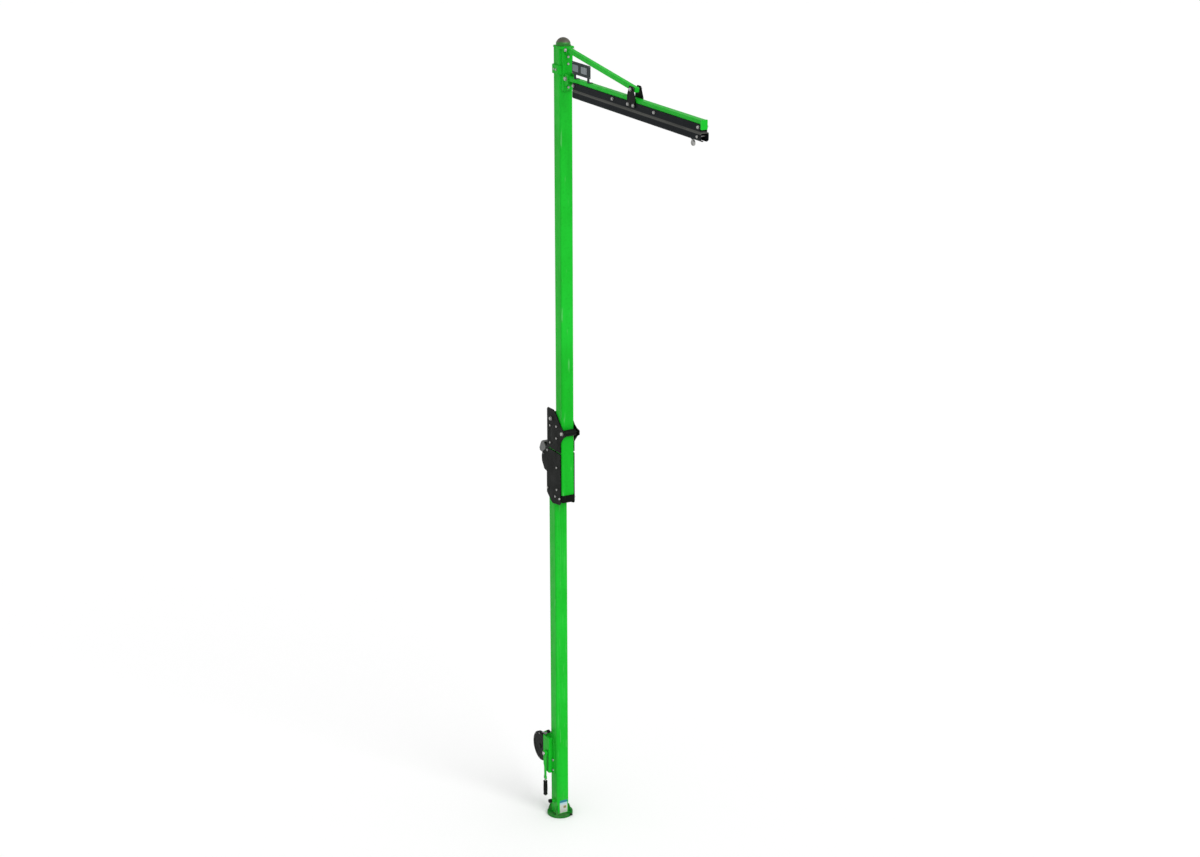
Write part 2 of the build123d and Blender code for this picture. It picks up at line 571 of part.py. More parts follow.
rope_path = Wire([
    Edge.make_line(at(*drum_leave), at(*lead_meet)),
    Edge.make_three_point_arc(at(*lead_meet), at(*lead_middle), at(RISER_X, LEAD_Z)),
    Edge.make_line(at(RISER_X, LEAD_Z), at(RISER_X, HEAD_Z)),
    Edge.make_three_point_arc(at(RISER_X, HEAD_Z), at(HEAD_X, HEAD_Z + HEAD_R), at(FALL_X, HEAD_Z)),
])
rope_section = Plane(origin=rope_path @ 0, z_dir=rope_path % 0) * Circle(ROPE_R)
save("hoist_rope", sweep(rope_section, path=rope_path))
save("rope_fall", rod_z(FALL_X, 0, SHOE_Z1, HEAD_Z, ROPE_R))
save("lead_sheave", sheave(LEAD_X, LEAD_Z, LEAD_R, lead_axle_r + RUNNING))

# ---------------------------------------------------------------- upper mast and its carriage

save("upper_mast_tube", square_post(UPPER_X, UPPER_W, MAST_CORNER, UPPER_Z0, UPPER_Z1, MAST_WALL))

shoe_x1 = UPPER_FRONT + 10
shoe = block(SHOE_X0, shoe_x1, -PLATE_IN, PLATE_IN, SHOE_Z0, SHOE_Z1)
shoe = fillet(shoe.edges().filter_by(Axis.Z).group_by(Axis.X)[-1], 12)
shoe -= square_post(UPPER_X, UPPER_W, MAST_CORNER, UPPER_Z0, SHOE_Z1)
save("mast_shoe", shoe)

carriage_outline = [
    (-63, 2612), (-63, 2958), (150, 2958), (150, 2582), (138, 2570), (30, 2552), (6, 2560),
]
carriage_bolt_at = ((99.0, 2846.0), (99.0, 2676.0))
shoe_bolt_at = ((76.0, 2618.0), (140.0, 2618.0))
back_bolt_at = ((-44.0, 2650.0), (-44.0, 2940.0))
for name, side in (("carriage_near", -1), ("carriage_far", 1)):
    y_faces = sorted((side * PLATE_IN, side * PLATE_OUT))
    plate = side_plate(carriage_outline, *y_faces, corner=4)
    foot_y = sorted((side * UPPER_HALF, side * PLATE_IN))
    plate += block(74, 146, *foot_y, SHOE_Z1 + 10, 2950)
    for bolt_x, bolt_z in carriage_bolt_at + shoe_bolt_at + back_bolt_at:
        plate -= rod_y(bolt_x, bolt_z, -PLATE_OUT, PLATE_OUT, 5)
    save(name, plate)

bolts = []
for side in (-1, 1):
    bolts += [stub_bolt(x, z, side, PLATE_OUT, 9, 5) for x, z in carriage_bolt_at]
    bolts += [stub_bolt(x, z, side, PLATE_OUT, 6, 5) for x, z in shoe_bolt_at]
    bolts += [stub_bolt(x, z, side, PLATE_OUT, 6, 5) for x, z in back_bolt_at]
save("carriage_bolts", group(bolts))

back_x0 = -63.0
back_x1 = -57.0
back = block(back_x0, back_x1, -PLATE_IN, PLATE_IN, 2620, 2955)
back -= rod_x(0, LOCK_Z, back_x0, back_x1, LOCK_PIN_R + 1)
save("carriage_back", back)

pads = [
    block(back_x1, -MAST_HALF - 0.4, -40, 40, 2630, 2700),
    block(back_x1, -MAST_HALF - 0.4, -40, 40, 2880, 2950),
]
for side in (-1, 1):
    y_faces = sorted((side * (MAST_HALF + 0.4), side * PLATE_IN))
    pads += [block(-38, 38, *y_faces, low, low + 90) for low in (2640, 2850)]
save("carriage_pads", group(pads))

latch_side = [
    (-63, 2746), (-63, 2946), (-116, 2946), (-150, 2906), (-186, 2882), (-200, 2846), (-196, 2806),
    (-160, 2756), (-110, 2746),
]
latch = Part()
for side in (-1, 1):
    y_faces = sorted((side * 26, side * 30))
    latch += side_plate(latch_side, *y_faces, corner=3)
latch += block(-110, -63, -26, 26, 2806, 2854)
latch += block(-114, -63, -26, 26, 2750, 2756)
latch += block(-196, -192, -26, 26, 2806, 2838)
latch += side_plate([(-160, 2756), (-164, 2758), (-197, 2803), (-196, 2809), (-192, 2806)], -26, 26)
latch += block(-69, -63, -38, 38, 2776, 2800)
latch -= rod_x(0, LOCK_Z, -110, -63, LOCK_PIN_R + RUNNING)
latch -= rod_y(*LATCH_PIVOT, -30, 30, 5 + RUNNING)
save("latch_housing", latch)

pivot_x, pivot_z = LATCH_PIVOT
latch_lever = rod_y(pivot_x, pivot_z, -22, 22, 12)
for side in (-1, 1):
    cheek_y = sorted((side * 18, side * 22))
    latch_lever += side_plate(
        [
            (pivot_x + 8, pivot_z), (pivot_x + 4, 2926), (-186, 2954), (-206, 2958), (-224, 2944),
            (-252, 2892), (-244, 2872), (pivot_x - 10, pivot_z - 6),
        ],
        *cheek_y, corner=3,
    )
latch_lever += side_plate([(-186, 2954), (-206, 2958), (-224, 2944), (-252, 2892), (-247, 2889),
                           (-220, 2940), (-204, 2953), (-186, 2949)], -18, 18)
latch_lever += side_plate([(pivot_x - 10, pivot_z), (pivot_x - 6, 2862), (pivot_x - 17, 2846),
                           (pivot_x - 18, 2824), (pivot_x - 25, 2824), (pivot_x - 26, 2850)], -8, 8)
latch_lever += rod_y(pivot_x, pivot_z, -34, 34, 5)
save("latch_lever", latch_lever)

lock_pin = rod_x(0, LOCK_Z, pivot_x - 8, LOCK_TIP_X, LOCK_PIN_R)
lock_pin = chamfer(lock_pin.edges().group_by(Axis.X)[-1], 1.5)
lock_pin += rod_x(0, LOCK_Z, pivot_x - 11.5, pivot_x - 5, 11)
save("lock_pin", lock_pin)

# ---------------------------------------------------------------- mast head

cap = block(60, BRACKET_X1, -52, 52, UPPER_Z1, UPPER_Z1 + 14)
cap = fillet(cap.edges().filter_by(Axis.Z), 12)
cap = fillet(cap.edges().group_by(Axis.Z)[-1], 5)

dome_x = 118.0
dome_r = 50.0
dome_z = UPPER_Z1 + 14
dome_h = 55.0
dome_skirt = 18.0
crown = dome_h - dome_skirt
crown_r = (dome_r ** 2 + crown ** 2) / (2 * crown)
dome = Pos(dome_x, 0, dome_z + dome_h - crown_r) * Sphere(crown_r)
dome &= block(dome_x - 60, dome_x + 60, -60, 60, dome_z + dome_skirt, dome_z + dome_h)
dome += rod_z(dome_x, 0, dome_z, dome_z + dome_skirt, dome_r)
dome += rod_z(dome_x, 0, dome_z, dome_z + 4, dome_r + 3)
save("mast_cap", dome)

ear_y0 = STRUT_W / 2 + 0.6
ear_y1 = ear_y0 + 6
bracket = block(UPPER_FRONT, BRACKET_X1, -38, 38, BRACKET_Z0, UPPER_Z1)
bracket = fillet(bracket.edges().filter_by(Axis.Z).group_by(Axis.X)[-1], 6)
bracket -= block(UPPER_FRONT, BRACKET_X1 - 8, -30, 30, BRACKET_Z0, UPPER_Z1)
for side in (-1, 1):
    ear_y = sorted((side * (ARM_HALF + 0.4), side * (ARM_HALF + 0.4 + ARM_EAR_T)))
    bracket += side_plate(
        [(BRACKET_X1 - 4, 5628), (BRACKET_X1 - 4, 5712), (238, 5708), (238, 5656), (214, 5634)],
        *ear_y, corner=3,
    )
    ear_y = sorted((side * ear_y0, side * ear_y1))
    bracket += side_plate(
        [(BRACKET_X1 - 4, 5838), (BRACKET_X1 - 4, UPPER_Z1), (206, 5892), (218, 5880), (218, 5858)],
        *ear_y, corner=3,
    )
bracket -= rod_y(*ROOT_PIN, -40, 40, ROOT_PIN_R)
bracket -= rod_y(*STRUT_TOP, -40, 40, STRUT_PIN_R)
collar_z0 = 5702.0
collar_z1 = 5763.0
collar_half = UPPER_HALF + 11
collar = square_post(UPPER_X, 2 * collar_half, MAST_CORNER + 9, collar_z0, collar_z1)
collar = fillet(collar.edges().group_by(Axis.Z)[-1], 3)
collar -= square_post(UPPER_X, UPPER_W, MAST_CORNER, collar_z0, collar_z1)
collar -= block(UPPER_FRONT - 1, UPPER_FRONT + 12, -38, 38, collar_z0, collar_z1)
collar_bolt_x = (96.0, 128.0)
collar_bolt_z = (collar_z0 + collar_z1) / 2
for bolt_x in collar_bolt_x:
    collar -= rod_y(bolt_x, collar_bolt_z, -collar_half, collar_half, 5)
save("head_bracket", bracket + cap)
save("head_collar", collar)

head_bolts = [
    through_bolt(*ROOT_PIN, -ARM_HALF - 0.4 - ARM_EAR_T, ARM_HALF + 0.4 + ARM_EAR_T, ROOT_PIN_R),
    through_bolt(*STRUT_TOP, -ear_y1, ear_y1, STRUT_PIN_R),
]
for side in (-1, 1):
    for bolt_x in collar_bolt_x:
        head_bolts.append(stub_bolt(bolt_x, collar_bolt_z, side, collar_half, 10, 5))
for bolt_z in (5616.0, 5776.0, 5824.0):
    head_bolts.append(Pos(BRACKET_X1, 0, bolt_z) * Rot(0, 90, 0) * hexagon(15, 6.5))
save("head_bolts", group(head_bolts))

# ---------------------------------------------------------------- jib arm and its track

arm = block(ARM_X0, ARM_X1, -ARM_HALF, ARM_HALF, ARM_Z0, ARM_Z1)
arm = fillet(arm.edges().filter_by(Axis.X), 4)
arm -= block(ARM_X0, ARM_X1, -ARM_HALF + ARM_WALL, ARM_HALF - ARM_WALL, ARM_Z0 + ARM_WALL, ARM_Z1 - ARM_WALL)
arm -= rod_y(*ROOT_PIN, -ARM_HALF, ARM_HALF, ROOT_PIN_R)
save("arm_bar", arm)

web_section = Rectangle(2 * TRACK_WEB_HALF, ARM_Z0 - TRACK_RIDGE_Z)
web_section -= Rectangle(2 * TRACK_WEB_HALF - 2 * TRACK_WALL, ARM_Z0 - TRACK_RIDGE_Z - 2 * TRACK_WALL)
track_web = extrude(Plane.YZ * web_section, amount=TRACK_X1 - 14 - TRACK_X0)
track_web = Pos(TRACK_X0, 0, (ARM_Z0 + TRACK_RIDGE_Z) / 2) * track_web
lobe_r = 15.0
tube = block(TRACK_X0, TRACK_X1, -TRACK_HALF, TRACK_HALF, TRACK_Z0, TRACK_RIDGE_Z)
tube = fillet(tube.edges().filter_by(Axis.X).group_by(Axis.Z)[0], lobe_r)
tube = fillet(tube.edges().filter_by(Axis.X).group_by(Axis.Z)[-1], 4)
hollow = block(
    TRACK_X0, TRACK_X1, -TRACK_HALF + TRACK_WALL, TRACK_HALF - TRACK_WALL,
    TRACK_Z0 + TRACK_WALL, TRACK_RIDGE_Z - TRACK_WALL,
)
hollow = fillet(hollow.edges().filter_by(Axis.X).group_by(Axis.Z)[0], lobe_r - TRACK_WALL)
tube -= hollow
slot = block(TRACK_X0, TRACK_X1, -TRACK_SLOT_HALF, TRACK_SLOT_HALF, TRACK_Z0, TRACK_Z0 + TRACK_WALL)
tube -= slot
tube = fillet(tube.edges().filter_by(Axis.X).filter_by_position(Axis.Y, -9, 9)
              .filter_by_position(Axis.Z, TRACK_Z0 - 1, TRACK_Z0 + 1), 3.5)
track = track_web + tube
track_bolts = []
for index in range(4):
    bolt_x = TRACK_BOLT_X0 + TRACK_BOLT_PITCH * index
    track -= rod_y(bolt_x, TRACK_BOLT_Z, -TRACK_WEB_HALF, TRACK_WEB_HALF, 6)
    track_bolts.append(through_bolt(bolt_x, TRACK_BOLT_Z, -TRACK_WEB_HALF, TRACK_WEB_HALF, 6))
clevis_bolt_at = ((1088.0, 5650.0), (1158.0, 5650.0))
for bolt_x, bolt_z in clevis_bolt_at:
    track -= rod_y(bolt_x, bolt_z, -TRACK_WEB_HALF, TRACK_WEB_HALF, 6)
stop_x = 1962.0
stop_z = 5588.0
track -= rod_y(stop_x, stop_z, -TRACK_HALF, TRACK_HALF, 5)
save("arm_track", track)

stop_bolt = through_bolt(stop_x, stop_z, -TRACK_HALF, TRACK_HALF, 5)
inner_stop = block(TRACK_X0 - 5, TRACK_X0, -25, 25, TRACK_Z0 + 4, ARM_Z0)
inner_stop = fillet(inner_stop.edges().filter_by(Axis.X), 4)
save("track_bolts_and_stops", group(track_bolts + [stop_bolt, inner_stop]))

end_plate = block(ARM_X1, ARM_X1 + 8, -ARM_HALF - 2, ARM_HALF + 2, 5633, ARM_Z1 + 2)
end_plate = fillet(end_plate.edges().filter_by(Axis.X), 5)
save("arm_end_plate", end_plate)

board_y0 = -20.6
board_y1 = board_y0 + 3
board = block(285, 545, board_y0, board_y1, 5726, 5812)
board = fillet(board.edges().filter_by(Axis.Y), 6)
for foot_x in (320.0, 510.0):
    board += block(foot_x - 14, foot_x + 14, board_y1, board_y1 + 3, ARM_Z1, 5750)
    board += block(foot_x - 14, foot_x + 14, board_y1, 14, ARM_Z1, ARM_Z1 + 3)
save("nameplate_board", board)
tags = []
for tag_x in (334.0, 456.0):
    tag = block(tag_x - 42, tag_x + 42, board_y0 - 1, board_y0, 5746, 5792)
    tags.append(fillet(tag.edges().filter_by(Axis.Y), 6))
save("nameplate_tags", group(tags))

clevis_in = TRACK_WEB_HALF
clevis_out = clevis_in + 6
clevis_plates = []
for side in (-1, 1):
    y_faces = sorted((side * clevis_in, side * clevis_out))
    plate = side_plate(
        [(1072, 5634), (1174, 5634), (1174, 5700), (1142, 5770), (1098, 5770), (1072, 5706)],
        *y_faces, corner=6,
    )
    plate -= rod_y(*STRUT_FOOT, *y_faces, STRUT_PIN_R)
    for bolt_x, bolt_z in clevis_bolt_at:
        plate -= rod_y(bolt_x, bolt_z, *y_faces, 6)
    clevis_plates.append(plate)
save("clevis_plates", group(clevis_plates))
clevis_bolts = [through_bolt(x, z, -clevis_out, clevis_out, 6) for x, z in clevis_bolt_at]
foot_pin = through_bolt(*STRUT_FOOT, -clevis_out, clevis_out, STRUT_PIN_R)
for side in (-1, 1):
    spacer_y = sorted((side * (STRUT_W / 2 + 0.2), side * clevis_in))
    spacer = rod_y(*STRUT_FOOT, *spacer_y, 12) - rod_y(*STRUT_FOOT, *spacer_y, STRUT_PIN_R)
    clevis_bolts.append(spacer)
clevis_bolts.append(foot_pin)
save("clevis_bolts", group(clevis_bolts))

strut_dx = STRUT_FOOT[0] - STRUT_TOP[0]
strut_dz = STRUT_FOOT[1] - STRUT_TOP[1]
strut_length = hypot(strut_dx, strut_dz)
strut_frame = Plane(
    origin=(STRUT_TOP[0], 0, STRUT_TOP[1]), x_dir=(0, 1, 0), z_dir=(strut_dx, 0, strut_dz)
)
strut_wall = 3.0
strut_toe = strut_length + 26
strut_section = RectangleRounded(STRUT_W, STRUT_W, 4)
strut_bore = RectangleRounded(STRUT_W - 2 * strut_wall, STRUT_W - 2 * strut_wall, 1)
strut = extrude(strut_frame * strut_section, amount=strut_toe)
strut -= extrude(strut_frame * strut_bore, amount=strut_toe - strut_wall)
strut += extrude(strut_frame * strut_section, amount=-2 * strut_wall)
strut -= rod_y(*STRUT_TOP, -20, 20, STRUT_PIN_R)
strut -= rod_y(*STRUT_FOOT, -20, 20, STRUT_PIN_R)
save("strut_tube", strut)

# ---------------------------------------------------------------- trolley

floor_z = TRACK_Z0 + TRACK_WALL
axle_z = floor_z + WHEEL_R + 0.3
collar_low = TRACK_Z0 - 7
trolley = block(TROLLEY_X - 44, TROLLEY_X + 44, -5, 5, floor_z + 3, floor_z + 34)
trolley = fillet(trolley.edges().filter_by(Axis.Y), 6)
trolley += block(TROLLEY_X - 20, TROLLEY_X + 20, -5, 5, TRACK_Z0 - 3, floor_z + 6)
wheel_x = (TROLLEY_X - WHEEL_BASE / 2, TROLLEY_X + WHEEL_BASE / 2)
for x in wheel_x:
    trolley += rod_y(x, axle_z, -18, 18, 4)
trolley += rod_z(TROLLEY_X, 0, collar_low, collar_low + 5, 13)
trolley -= rod_z(TROLLEY_X, 0, collar_low, floor_z + 16, 6 + RUNNING)
trolley -= rod_z(TROLLEY_X, 0, floor_z + 15, floor_z + 24, 10.5)
save("trolley_body", trolley)

for name, x in (("trolley_wheels_inner", wheel_x[0]), ("trolley_wheels_outer", wheel_x[1])):
    wheels = []
    for side in (-1, 1):
        y_faces = sorted((side * 9, side * 16))
        wheel = fillet(rod_y(x, axle_z, *y_faces, WHEEL_R).edges(), 1.5)
        wheels.append(wheel - rod_y(x, axle_z, *y_faces, 4 + RUNNING))
    save(name, group(wheels))

eye_z = TRACK_Z0 - 30
eye = rod_y(TROLLEY_X, eye_z, -7, 7, EYE_BORE_R + 8)
eye = fillet(eye.edges(), 4)
eye += rod_z(TROLLEY_X, 0, eye_z + EYE_BORE_R + 2, collar_low - 0.5, 9)
eye += rod_z(TROLLEY_X, 0, collar_low - 1, floor_z + 20, 6)
eye += rod_z(TROLLEY_X, 0, floor_z + 16, floor_z + 22, 10)
eye -= rod_y(TROLLEY_X, eye_z, -9, 9, EYE_BORE_R)
save("trolley_eye", eye)
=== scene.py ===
"""Looks of the portable jib mast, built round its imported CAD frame. Metres, +Z up, +X along the arm."""
import json
from math import atan2, ceil, cos, pi, radians, sin, sqrt

import bpy
from mathutils import Matrix, Vector


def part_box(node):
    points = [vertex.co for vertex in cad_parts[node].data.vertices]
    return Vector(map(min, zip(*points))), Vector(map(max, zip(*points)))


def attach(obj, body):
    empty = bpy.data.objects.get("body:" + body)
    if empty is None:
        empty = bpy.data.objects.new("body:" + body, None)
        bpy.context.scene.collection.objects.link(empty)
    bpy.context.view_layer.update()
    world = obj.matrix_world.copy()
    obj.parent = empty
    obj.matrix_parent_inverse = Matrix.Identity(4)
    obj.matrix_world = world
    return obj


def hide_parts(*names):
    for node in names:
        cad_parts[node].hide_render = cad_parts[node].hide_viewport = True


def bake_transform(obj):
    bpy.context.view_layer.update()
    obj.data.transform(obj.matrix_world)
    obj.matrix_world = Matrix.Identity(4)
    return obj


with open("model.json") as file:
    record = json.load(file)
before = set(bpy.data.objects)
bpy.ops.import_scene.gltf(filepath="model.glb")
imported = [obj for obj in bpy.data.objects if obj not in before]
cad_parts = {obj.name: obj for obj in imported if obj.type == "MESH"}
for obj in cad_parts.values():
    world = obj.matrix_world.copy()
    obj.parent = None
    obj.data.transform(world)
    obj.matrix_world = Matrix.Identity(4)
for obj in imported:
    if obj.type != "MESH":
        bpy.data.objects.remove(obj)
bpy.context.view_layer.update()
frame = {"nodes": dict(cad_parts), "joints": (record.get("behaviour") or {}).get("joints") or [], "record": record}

# ---------------------------------------------------------------- driving values

CAMERA_AZIMUTH = 61.6
CAMERA_ELEVATION = 18.55
CAMERA_DISTANCE = 16.5
CAMERA_TARGET = Vector((0.145, 0.270, 3.106))
CAMERA_LENS = 68.4
SENSOR_WIDTH = 36.0

ROPE_STRANDS = 6
ROPE_LAY = 0.040           # length along the rope in which a strand goes round once
ROPE_STEP = 0.003
ROPE_GAP = 0.0003          # rope to the bottom of its groove
WELD_R = 0.0032
WELD_RIPPLE = 0.0028
WELD_SIDES = 8
LATCH_PITCH = 0.150
LATCH_HOLES = 13

joint_at = {joint["name"]: Vector(joint["pos_m"]) for joint in frame["joints"] if "pos_m" in joint}
drum_at = joint_at["drum_spin"]
lead_at = joint_at["lead_sheave_spin"]
head_at = joint_at["head_sheave_spin"]
Y_AXIS = Vector((0, 1, 0))

# ---------------------------------------------------------------- finishes


class Finish:
    """A node material, with short ways to add noise, masks, colour and relief."""

    def __init__(self, name, color, roughness, metallic=0.0, **constants):
        self.material = bpy.data.materials.new(name)
        self.material.use_nodes = True
        self.tree = self.material.node_tree
        self.shader = self.tree.nodes["Principled BSDF"]
        self.shader.inputs["Base Color"].default_value = (*color, 1)
        self.shader.inputs["Roughness"].default_value = roughness
        self.shader.inputs["Metallic"].default_value = metallic
        for socket, value in constants.items():
            self.shader.inputs[socket.replace("_", " ")].default_value = value
        self.place = self.add("ShaderNodeTexCoord").outputs["Object"]
        self.color = None
        self.base = color
        self.normal = None

    def add(self, kind, links=(), **settings):
        node = self.tree.nodes.new(kind)
        for setting, value in settings.items():
            setattr(node, setting, value)
        for socket, value in dict(links).items():
            if isinstance(value, bpy.types.NodeSocket):
                self.tree.links.new(value, node.inputs[socket])
            elif value is not None:
                node.inputs[socket].default_value = value
        return node

    def axis(self, letter):
        return self.add("ShaderNodeSeparateXYZ", {0: self.place}).outputs[letter]

    def calc(self, operation, first, second=None, third=None):
        links = {0: first, 1: second, 2: third}
        return self.add("ShaderNodeMath", links, operation=operation).outputs[0]

    def noise(self, scale, detail=3.0, stretch=(1, 1, 1), distortion=0.0):
        where = self.add("ShaderNodeMapping", {"Vector": self.place, "Scale": stretch}).outputs[0]
        links = {"Vector": where, "Scale": scale, "Detail": detail, "Distortion": distortion}
        return self.add("ShaderNodeTexNoise", links).outputs[0]

    def cells(self, scale):
        links = {"Vector": self.place, "Scale": scale}
        return self.add("ShaderNodeTexVoronoi", links).outputs["Distance"]

    def ramp(self, value, low, high, to_low=0.0, to_high=1.0):
        """value from low to high, eased into the range to_low to to_high."""
        links = {0: value, 1: low, 2: high, 3: to_low, 4: to_high}
        node = self.add("ShaderNodeMapRange", links, interpolation_type="SMOOTHSTEP")
        return node.outputs[0]

    def within(self, value, low, high, soft):
        """1 between low and high, falling to 0 over the soft width each side."""
        rise = self.ramp(value, low - soft, low)
        fall = self.ramp(value, high, high + soft, 1.0, 0.0)
        return self.calc("MULTIPLY", rise, fall)

    def times(self, *factors):
        product = factors[0]
        for factor in factors[1:]:
            product = self.calc("MULTIPLY", product, factor)
        return product

    def tint(self, factor, color):
        """Mixes a colour over what is there, where factor is high."""
        under = self.color if self.color is not None else (*self.base, 1)
        links = {"Factor": factor, "A": under, "B": (*color, 1)}
        node = self.add("ShaderNodeMix", data_type="RGBA")
        for socket in node.inputs:
            if socket.name == "Factor" and socket.type == "VALUE":
                self.tree.links.new(factor, socket)
            elif socket.type == "RGBA" and socket.name in links:
                value = links[socket.name]
                if isinstance(value, bpy.types.NodeSocket):
                    self.tree.links.new(value, socket)
                else:
                    socket.default_value = value
        self.color = next(socket for socket in node.outputs if socket.type == "RGBA")
        self.tree.links.new(self.color, self.shader.inputs["Base Color"])
        return self

    def rough(self, factor, low, high):
        self.tree.links.new(self.ramp(factor, 0.0, 1.0, low, high), self.shader.inputs["Roughness"])
        return self

    def relief(self, height, strength, depth):
        links = {"Height": height, "Strength": strength, "Distance": depth, "Normal": self.normal}
        self.normal = self.add("ShaderNodeBump", links).outputs[0]
        self.tree.links.new(self.normal, self.shader.inputs["Normal"])
        return self

    def round_edges(self, radius):
        """Rounds hard edges in the shading, and returns a mask that is high along them."""
        rounded = self.add("ShaderNodeBevel", {"Radius": radius}, samples=4).outputs[0]
        flat = self.add("ShaderNodeNewGeometry").outputs["Normal"]
        links = {0: rounded, 1: flat}
        same = self.add("ShaderNodeVectorMath", links, operation="DOT_PRODUCT").outputs["Value"]
        self.normal = rounded
        return self.ramp(same, 0.80, 0.995, 1.0, 0.0)


def shade_of(color, *factors):
    """A colour with its channels scaled, by one factor or by one each."""
    scales = factors if len(factors) > 1 else factors * len(color)
    return tuple(min(1.0, channel * scale) for channel, scale in zip(color, scales))


def powder_coat(name, dark, light, worn, roughness, sheen=0.08, peel=0.55, wear=0.75):
    """Sprayed and baked paint: mottled colour, orange peel, scuffs, and edges rubbed thin."""
    made = Finish(name, dark, roughness, Specular_IOR_Level=sheen)
    edges = made.round_edges(0.0022)
    mottle = made.noise(2.2, detail=5.0)
    fine = made.noise(55.0, detail=2.0)
    made.tint(made.ramp(mottle, 0.30, 0.70), light)
    made.tint(made.ramp(fine, 0.50, 0.80, 0.0, 0.30), shade_of(dark, 0.6))
    scuffs = made.noise(9.0, detail=6.0, stretch=(7, 7, 0.6), distortion=0.4)
    scuffed = made.ramp(scuffs, 0.62, 0.73, 0.0, 0.34)
    made.tint(scuffed, worn)
    streaks = made.noise(3.0, detail=4.0, stretch=(5, 5, 0.35))
    made.tint(made.ramp(streaks, 0.48, 0.72, 0.0, 0.28), shade_of(dark, 0.55))
    patchy = made.ramp(made.noise(38.0, detail=4.0), 0.42, 0.66)
    made.tint(made.times(edges, patchy, wear), worn)
    low_dust = made.ramp(made.axis("Z"), 0.0, 0.32, 0.35, 0.0)
    grime = made.times(low_dust, made.ramp(made.noise(22.0, detail=6.0), 0.40, 0.75))
    made.tint(grime, (0.13, 0.12, 0.09))
    made.rough(made.noise(14.0, detail=5.0), roughness - 0.12, roughness + 0.16)
    made.relief(made.noise(320.0, detail=1.5), peel, 0.0007)
    made.relief(made.noise(1500.0, detail=0.0), peel * 0.5, 0.0001)
    return made


def mast_paint():
    """The masts' green, with rub marks where pads slide and rings round the latch holes."""
    made = powder_coat("green_mast_paint", GREEN_DARK, GREEN_LIGHT, GREEN_WORN, 0.42)
    travel = made.within(made.axis("Z"), 0.80, 2.95, 0.12)
    streaks = made.ramp(made.noise(26.0, detail=5.0, stretch=(6, 6, 0.12)), 0.54, 0.70)
    made.tint(made.times(travel, streaks, 0.30), (0.10, 0.56, 0.13))
    pin_low, pin_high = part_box("lock_pin")
    pin_z = (pin_low.z + pin_high.z) / 2
    from_pin = made.calc("SUBTRACT", made.axis("Z"), pin_z)
    wrapped = made.calc("WRAP", from_pin, LATCH_PITCH / 2, -LATCH_PITCH / 2)
    across = made.axis("Y")
    away = made.calc("SQRT", made.calc("ADD", made.times(across, across), made.times(wrapped, wrapped)))
    behind = made.ramp(made.axis("X"), -0.049, -0.044, 1.0, 0.0)
    ragged = made.calc("ADD", away, made.ramp(made.noise(90.0), 0, 1, 0, 0.006))
    worn_ring = made.ramp(ragged, 0.0115, 0.0175, 1.0, 0.0)
    below_top = made.ramp(made.axis("Z"), pin_z + 0.03, pin_z + 0.05, 1.0, 0.0)
    lowest = (LATCH_HOLES - 0.5) * LATCH_PITCH
    above_foot = made.ramp(made.axis("Z"), pin_z - lowest, pin_z - lowest + 0.1 * LATCH_PITCH)
    made.tint(made.times(behind, worn_ring, below_top, above_foot, 0.85), (0.30, 0.31, 0.29))
    return made


def track_paint():
    """Black extrusion with drawn lines along it and a painted grey highlight on the shoulder of the trolley tube.
    """
    made = Finish("track_black", (0.003, 0.005, 0.007), 0.42, Specular_IOR_Level=0.04)
    edges = made.round_edges(0.0012)
    low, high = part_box("arm_track")
    shoulder_z = low.z + (high.z - low.z) * 0.49
    made.tint(made.ramp(made.noise(5.0, detail=4.0), 0.3, 0.7), (0.006, 0.008, 0.010))
    drawn = made.noise(160.0, detail=3.0, stretch=(0.015, 1, 1))
    made.tint(made.ramp(drawn, 0.55, 0.75, 0.0, 0.35), (0.014, 0.016, 0.017))
    # Painted highlight: a grey band where light would catch the rounded top of the trolley tube, broken up by
    # noise stretched along the arm.
    shoulder = made.within(made.axis("Z"), shoulder_z - 0.004, shoulder_z + 0.006, 0.006)
    highlight_breakup = made.ramp(made.noise(30.0, detail=4.0, stretch=(0.12, 1, 1)), 0.25, 0.60, 0.65, 1.0)
    made.tint(made.times(shoulder, highlight_breakup, 0.92), (0.085, 0.086, 0.078))
    made.tint(made.times(edges, made.ramp(made.noise(45.0), 0.40, 0.60), 0.5), (0.12, 0.12, 0.115))
    made.rough(drawn, 0.32, 0.55)
    made.relief(drawn, 0.25, 0.0003)
    return made


def plated_steel(name, color, roughness, spangle=70.0):
    """Zinc plate: faint crystals, a passivated tint, and dull handling marks."""
    made = Finish(name, color, roughness, metallic=0.9)
    edges = made.round_edges(0.0006)
    crystals = made.cells(spangle)
    made.tint(made.ramp(crystals, 0.1, 0.9, 0.0, 0.45), shade_of(color, 0.72))
    tarnish = made.ramp(made.noise(35.0, detail=5.0), 0.55, 0.80, 0.0, 0.5)
    made.tint(tarnish, shade_of(color, 0.80, 0.75, 0.60))
    made.tint(made.times(edges, 0.45), shade_of(color, 1.6))
    made.rough(made.noise(90.0, detail=4.0), roughness - 0.10, roughness + 0.18)
    made.relief(crystals, 0.08, 0.0002)
    made.relief(made.noise(900.0, detail=2.0), 0.2, 0.0001)
    return made


